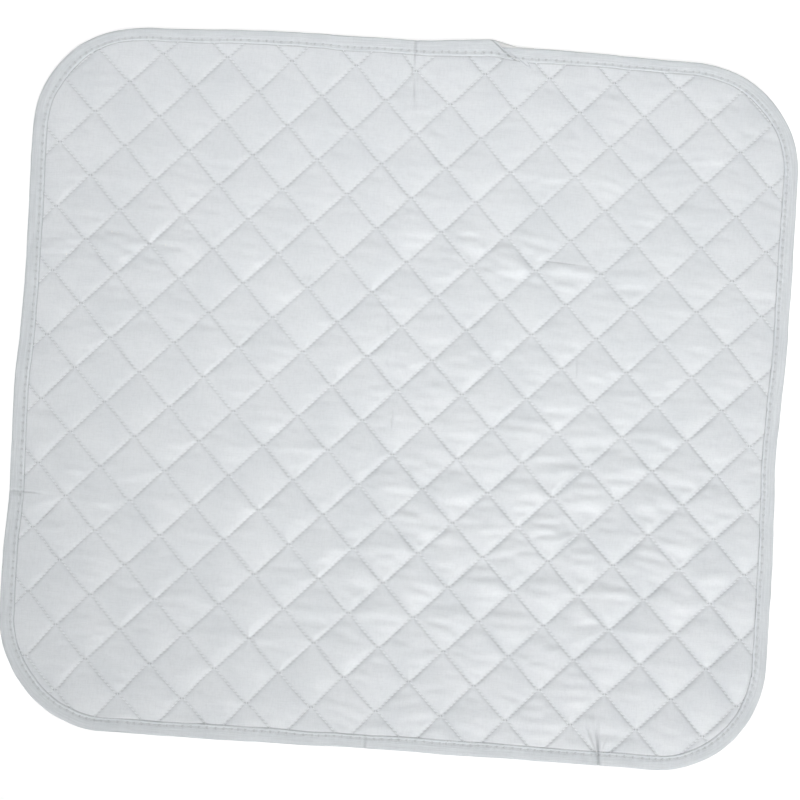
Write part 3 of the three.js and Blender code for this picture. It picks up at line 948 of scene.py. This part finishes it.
# Middle line of the folded tape: distance in from the edge and height, raw edge to raw edge.
FACE_TOP = FACE_SEAM + 0.05
TAPE_HALF = 0.18
TAPE_CLEARANCE = 0.02

# Share of the waves and creases that the under side of the tape takes up.
UNDER_SHARE = 0.3

TOP_PLY = [
    (3.0, 0.27), (8.6, 0.22), (10.35, 0.25), (10.82, 0.36), (10.98, 0.56), (10.84, 0.77), (10.35, 0.88),
    (9.7, 0.84), (9.1, 0.72), (8.6, 0.62), (8.1, 0.72), (7.4, 0.86), (6.2, 0.98), (4.6, 1.04), (3.0, 1.04),
    (1.5, 1.0), (0.75, 0.87), (0.32, 0.42), (0.2, -0.6),
]
UNDER_PLY = [
    (0.18, 1.9), (0.25, 1.25), (0.6, 0.65), (1.3, 0.3), (2.4, 0.2), (5.5, 0.2), (7.6, 0.24), (8.6, 0.42),
    (9.6, 0.24), (10.5, 0.24), (10.95, 0.5), (10.5, 0.76), (8.6, 0.74), (3.0, 0.8),
]


def tape_section():
    """The tape's two faces as one closed ring of distances and heights, and which points are on top."""
    middle = np.array([(u, FACE_TOP + h) for u, h in TOP_PLY] + UNDER_PLY)
    way = np.gradient(middle, axis=0)
    way = way / np.hypot(way[:, 0], way[:, 1])[:, None]
    side = np.stack([-way[:, 1], way[:, 0]], 1) * TAPE_HALF
    on_top = np.arange(len(middle)) < len(TOP_PLY)
    ring = np.concatenate([middle - side, (middle + side)[::-1]])
    return ring, np.concatenate([on_top, on_top[::-1]])


def build_binding():
    ring, on_top = tape_section()
    steps = int(round(PERIMETER / BINDING_STITCH)) * 6
    start = np.concatenate([np.arange(0.0, 1.2, 0.2), np.linspace(1.2, PERIMETER - 12.0, steps)])
    joint = np.arange(PERIMETER - 11.6, PERIMETER + 4.0, 0.4)
    s = np.concatenate([start, joint, PERIMETER + np.linspace(4.0, LAP, 16)])
    base = np.repeat(s[:, None], len(ring), 1)
    u = np.repeat(ring[None, :, 0], len(s), 0)
    z = np.repeat(ring[None, :, 1], len(s), 0)
    top = np.repeat(on_top[None, :], len(s), 0)
    beyond = base - PERIMETER
    starting = 1.0 - smooth(base / 30.0)
    u = u + EAR * (1.0 - smooth(base / 15.0)) * top * smooth((u - 7.0) / 4.0)
    u = u + 0.9 * starting * (1.0 - smooth(u / 4.0))
    ending = smooth((beyond + 50.0) / 30.0)
    s = base + JOINT_SLANT * (u * starting + (u - edge_wander(base, u)) * ending)
    stitch = stitch_count(s)
    seam = np.exp(-((u - SEAM_INSET) / 0.9) ** 2) * (0.5 + 0.5 * np.cos(2.0 * math.pi * stitch))
    waves = 0.16 * field(s, 3.0 * u, 21.0, 31) + 0.16 * field(s + 0.9 * u, u, 7.5, 32)
    tight = np.exp(-((u - SEAM_INSET) / 2.6) ** 2) * (0.8 + 0.6 * field(s, 0.0 * s, 23.0, 33))
    roping = -ROPING * tight * np.cos(2.0 * math.pi * (stitch + 0.09 * (u - SEAM_INSET)))
    fullness = np.clip((u - 0.4) / 3.0, 0.0, 1.0) * (waves + roping) - SEAM_DENT * seam
    short = beyond / math.hypot(1.0, JOINT_SLANT)
    bare = smooth(short / 1.0)
    # The gap sinks the tape under the rim and is also painted into the tape's colour as shadow.
    gap = np.exp(-((short + 0.3) / 0.5) ** 2) * top
    tucked = smooth((short + 8.0) / 8.0) * smooth((u - 0.3) / 2.0)
    ridge = np.exp(-(base / 1.6) ** 2)
    at_joint = START_LIFT * starting + RIM_HEIGHT * ridge - TUCK_TOP * tucked - GAP_DEPTH * gap
    z = z + np.where(top, fullness + at_joint, TUCK_UNDER * tucked - UNDER_SHARE * fullness)
    x, y, nx, ny = edge_place(s)
    out = edge_wander(s, u) - u
    px = (x + nx * out).ravel()
    py = (y + ny * out).ravel()
    wx, wy = warp(px, py)
    under = np.maximum(z.ravel() + UNDER_SHARE * lift(px, py), TAPE_CLEARANCE)
    z = np.where(top.ravel(), z.ravel() + lift(px, py), under)
    maps = {
        "joint": np.stack([bare.ravel(), gap.ravel()], 1),
        "seam": np.stack([stitch.ravel(), u.ravel()], 1),
    }
    faces = ring_faces(len(base), len(ring))
    return add_object("folded_binding", np.stack([wx, wy, z], 1), faces, TAPE, maps)


def build_binding_thread(name, up):
    """Stitches of the binding seam, which runs over its own start at the joint."""
    count = int(round((PERIMETER + 24.0) / BINDING_STITCH))
    parts = np.array([0.0, 0.08, 0.3, 0.5, 0.7, 0.92])
    stitch = (np.arange(count)[:, None] + parts[None, :]).ravel()
    s = stitch_place(stitch)
    hump = np.sin(np.pi * (stitch % 1.0)) ** 0.5
    overlap = smooth((s - PERIMETER + 16.0) / 10.0)
    inset = SEAM_INSET - 1.3 * overlap
    x, y, nx, ny = edge_place(s)
    px = x + nx * (edge_wander(s, inset) - inset)
    py = y + ny * (edge_wander(s, inset) - inset)
    wx, wy = warp(px, py)
    if up:
        lapped = smooth(1.0 - np.abs(s - PERIMETER - 10.0) / 16.0) + smooth(1.0 - np.abs(s - 2.0) / 14.0)
        z = FACE_TOP + 0.38 + 0.55 * hump + lift(px, py) + 0.4 * lapped
    else:
        z = np.maximum(0.42 - 0.2 * hump + UNDER_SHARE * lift(px, py), BINDING_THREAD)
    radius = BINDING_THREAD * (0.75 + 0.25 * hump)
    return add_thread(name, [tube(wx, wy, z, radius, stitch * 2.0, 6)], BINDING_COTTON)


# The pieces

def place_piece(piece, node_name):
    """Puts a piece on the pad's body, in place of its CAD solid."""
    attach(piece, "root")
    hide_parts(node_name)


face = build_face()
backing = build_backing()
wadding = build_wadding()
binding = build_binding()
place_piece(face, "face_cloth")
place_piece(backing, "backing_cloth")
place_piece(wadding, "wadding")
place_piece(binding, "edge_binding")
place_piece(build_binding_thread("binding_stitches", True), "binding_needle_thread")
place_piece(build_binding_thread("binding_stitches_back", False), "binding_bobbin_thread")
build_rows()


# Stage

def build_floor():
    """A white floor that keeps the pad's shadow."""
    mesh = bpy.data.meshes.new("floor")
    mesh.from_pydata([(-6, -6, 0), (6, -6, 0), (6, 6, 0), (-6, 6, 0)], [], [(0, 1, 2, 3)])
    made = bpy.data.objects.new("floor", mesh)
    scene.collection.objects.link(made)
    material = bpy.data.materials.new("floor")
    material.use_nodes = True
    tree = material.node_tree
    tree.nodes.clear()
    seen = node(tree, "ShaderNodeLightPath")
    shown = calc(tree, "MAXIMUM", seen.outputs["Is Camera Ray"], seen.outputs["Is Glossy Ray"])
    shown = calc(tree, "MAXIMUM", shown, seen.outputs["Is Transmission Ray"])
    plain = node(tree, "ShaderNodeBsdfDiffuse", {"Color": (0.9, 0.9, 0.9, 1.0)})
    paper = node(tree, "ShaderNodeBsdfDiffuse", {"Color": (0.32, 0.32, 0.32, 1.0)})
    glow = node(tree, "ShaderNodeEmission", {"Color": (1.0, 1.0, 1.0, 1.0), "Strength": 0.76})
    white = node(tree, "ShaderNodeAddShader", {0: paper.outputs[0], 1: glow.outputs[0]})
    mixed = node(tree, "ShaderNodeMixShader", {0: shown, 1: plain.outputs[0], 2: white.outputs[0]})
    node(tree, "ShaderNodeOutputMaterial", {0: mixed.outputs[0]})
    mesh.materials.append(material)


def area_lamp(name, place, aim, size, power, spread, mirrored):
    """A round soft lamp, whose light spreads over an angle in degrees. The sheen shows it if mirrored."""
    data = bpy.data.lights.new(name, "AREA")
    data.shape = "DISK"
    data.size = size
    data.energy = power
    data.spread = math.radians(spread)
    made = bpy.data.objects.new(name, data)
    scene.collection.objects.link(made)
    made.location = place
    way = Vector(aim) - Vector(place)
    made.rotation_euler = way.to_track_quat("-Z", "Y").to_euler()
    made.visible_camera = False
    made.visible_glossy = mirrored


build_floor()
area_lamp(
    "key", place=(1.0, -2.3, 3.7), aim=(0.16, 0.06, 0.0),
    size=1.3, power=3.6, spread=25.8, mirrored=True,
)
area_lamp(
    "overhead", place=(-0.15, 0.38, 2.6), aim=(-0.15, 0.38, 0.0),
    size=0.6, power=4.15, spread=80.0, mirrored=False,
)

world = bpy.data.worlds.new("studio")
world.use_nodes = True
world.node_tree.nodes["Background"].inputs["Color"].default_value = (1.0, 1.0, 1.0, 1.0)
world.node_tree.nodes["Background"].inputs["Strength"].default_value = 0.27
scene.world = world

# The photograph looks straight down on a pad that lies a few degrees askew.
PIXEL = 0.78329
ASKEW = 3.88
CAMERA_HEIGHT = 2.0
lens = bpy.data.cameras.new("camera")
lens.sensor_width = 36.0
lens.lens = 36.0 * (CAMERA_HEIGHT - FACE_SEAM * MM) / (800.0 * PIXEL * MM)
camera = bpy.data.objects.new("camera", lens)
scene.collection.objects.link(camera)
camera.location = (1.22 * MM, -3.58 * MM, CAMERA_HEIGHT)
camera.rotation_euler = (0.0, 0.0, math.radians(ASKEW))
scene.camera = camera

scene.view_settings.view_transform = "Standard"
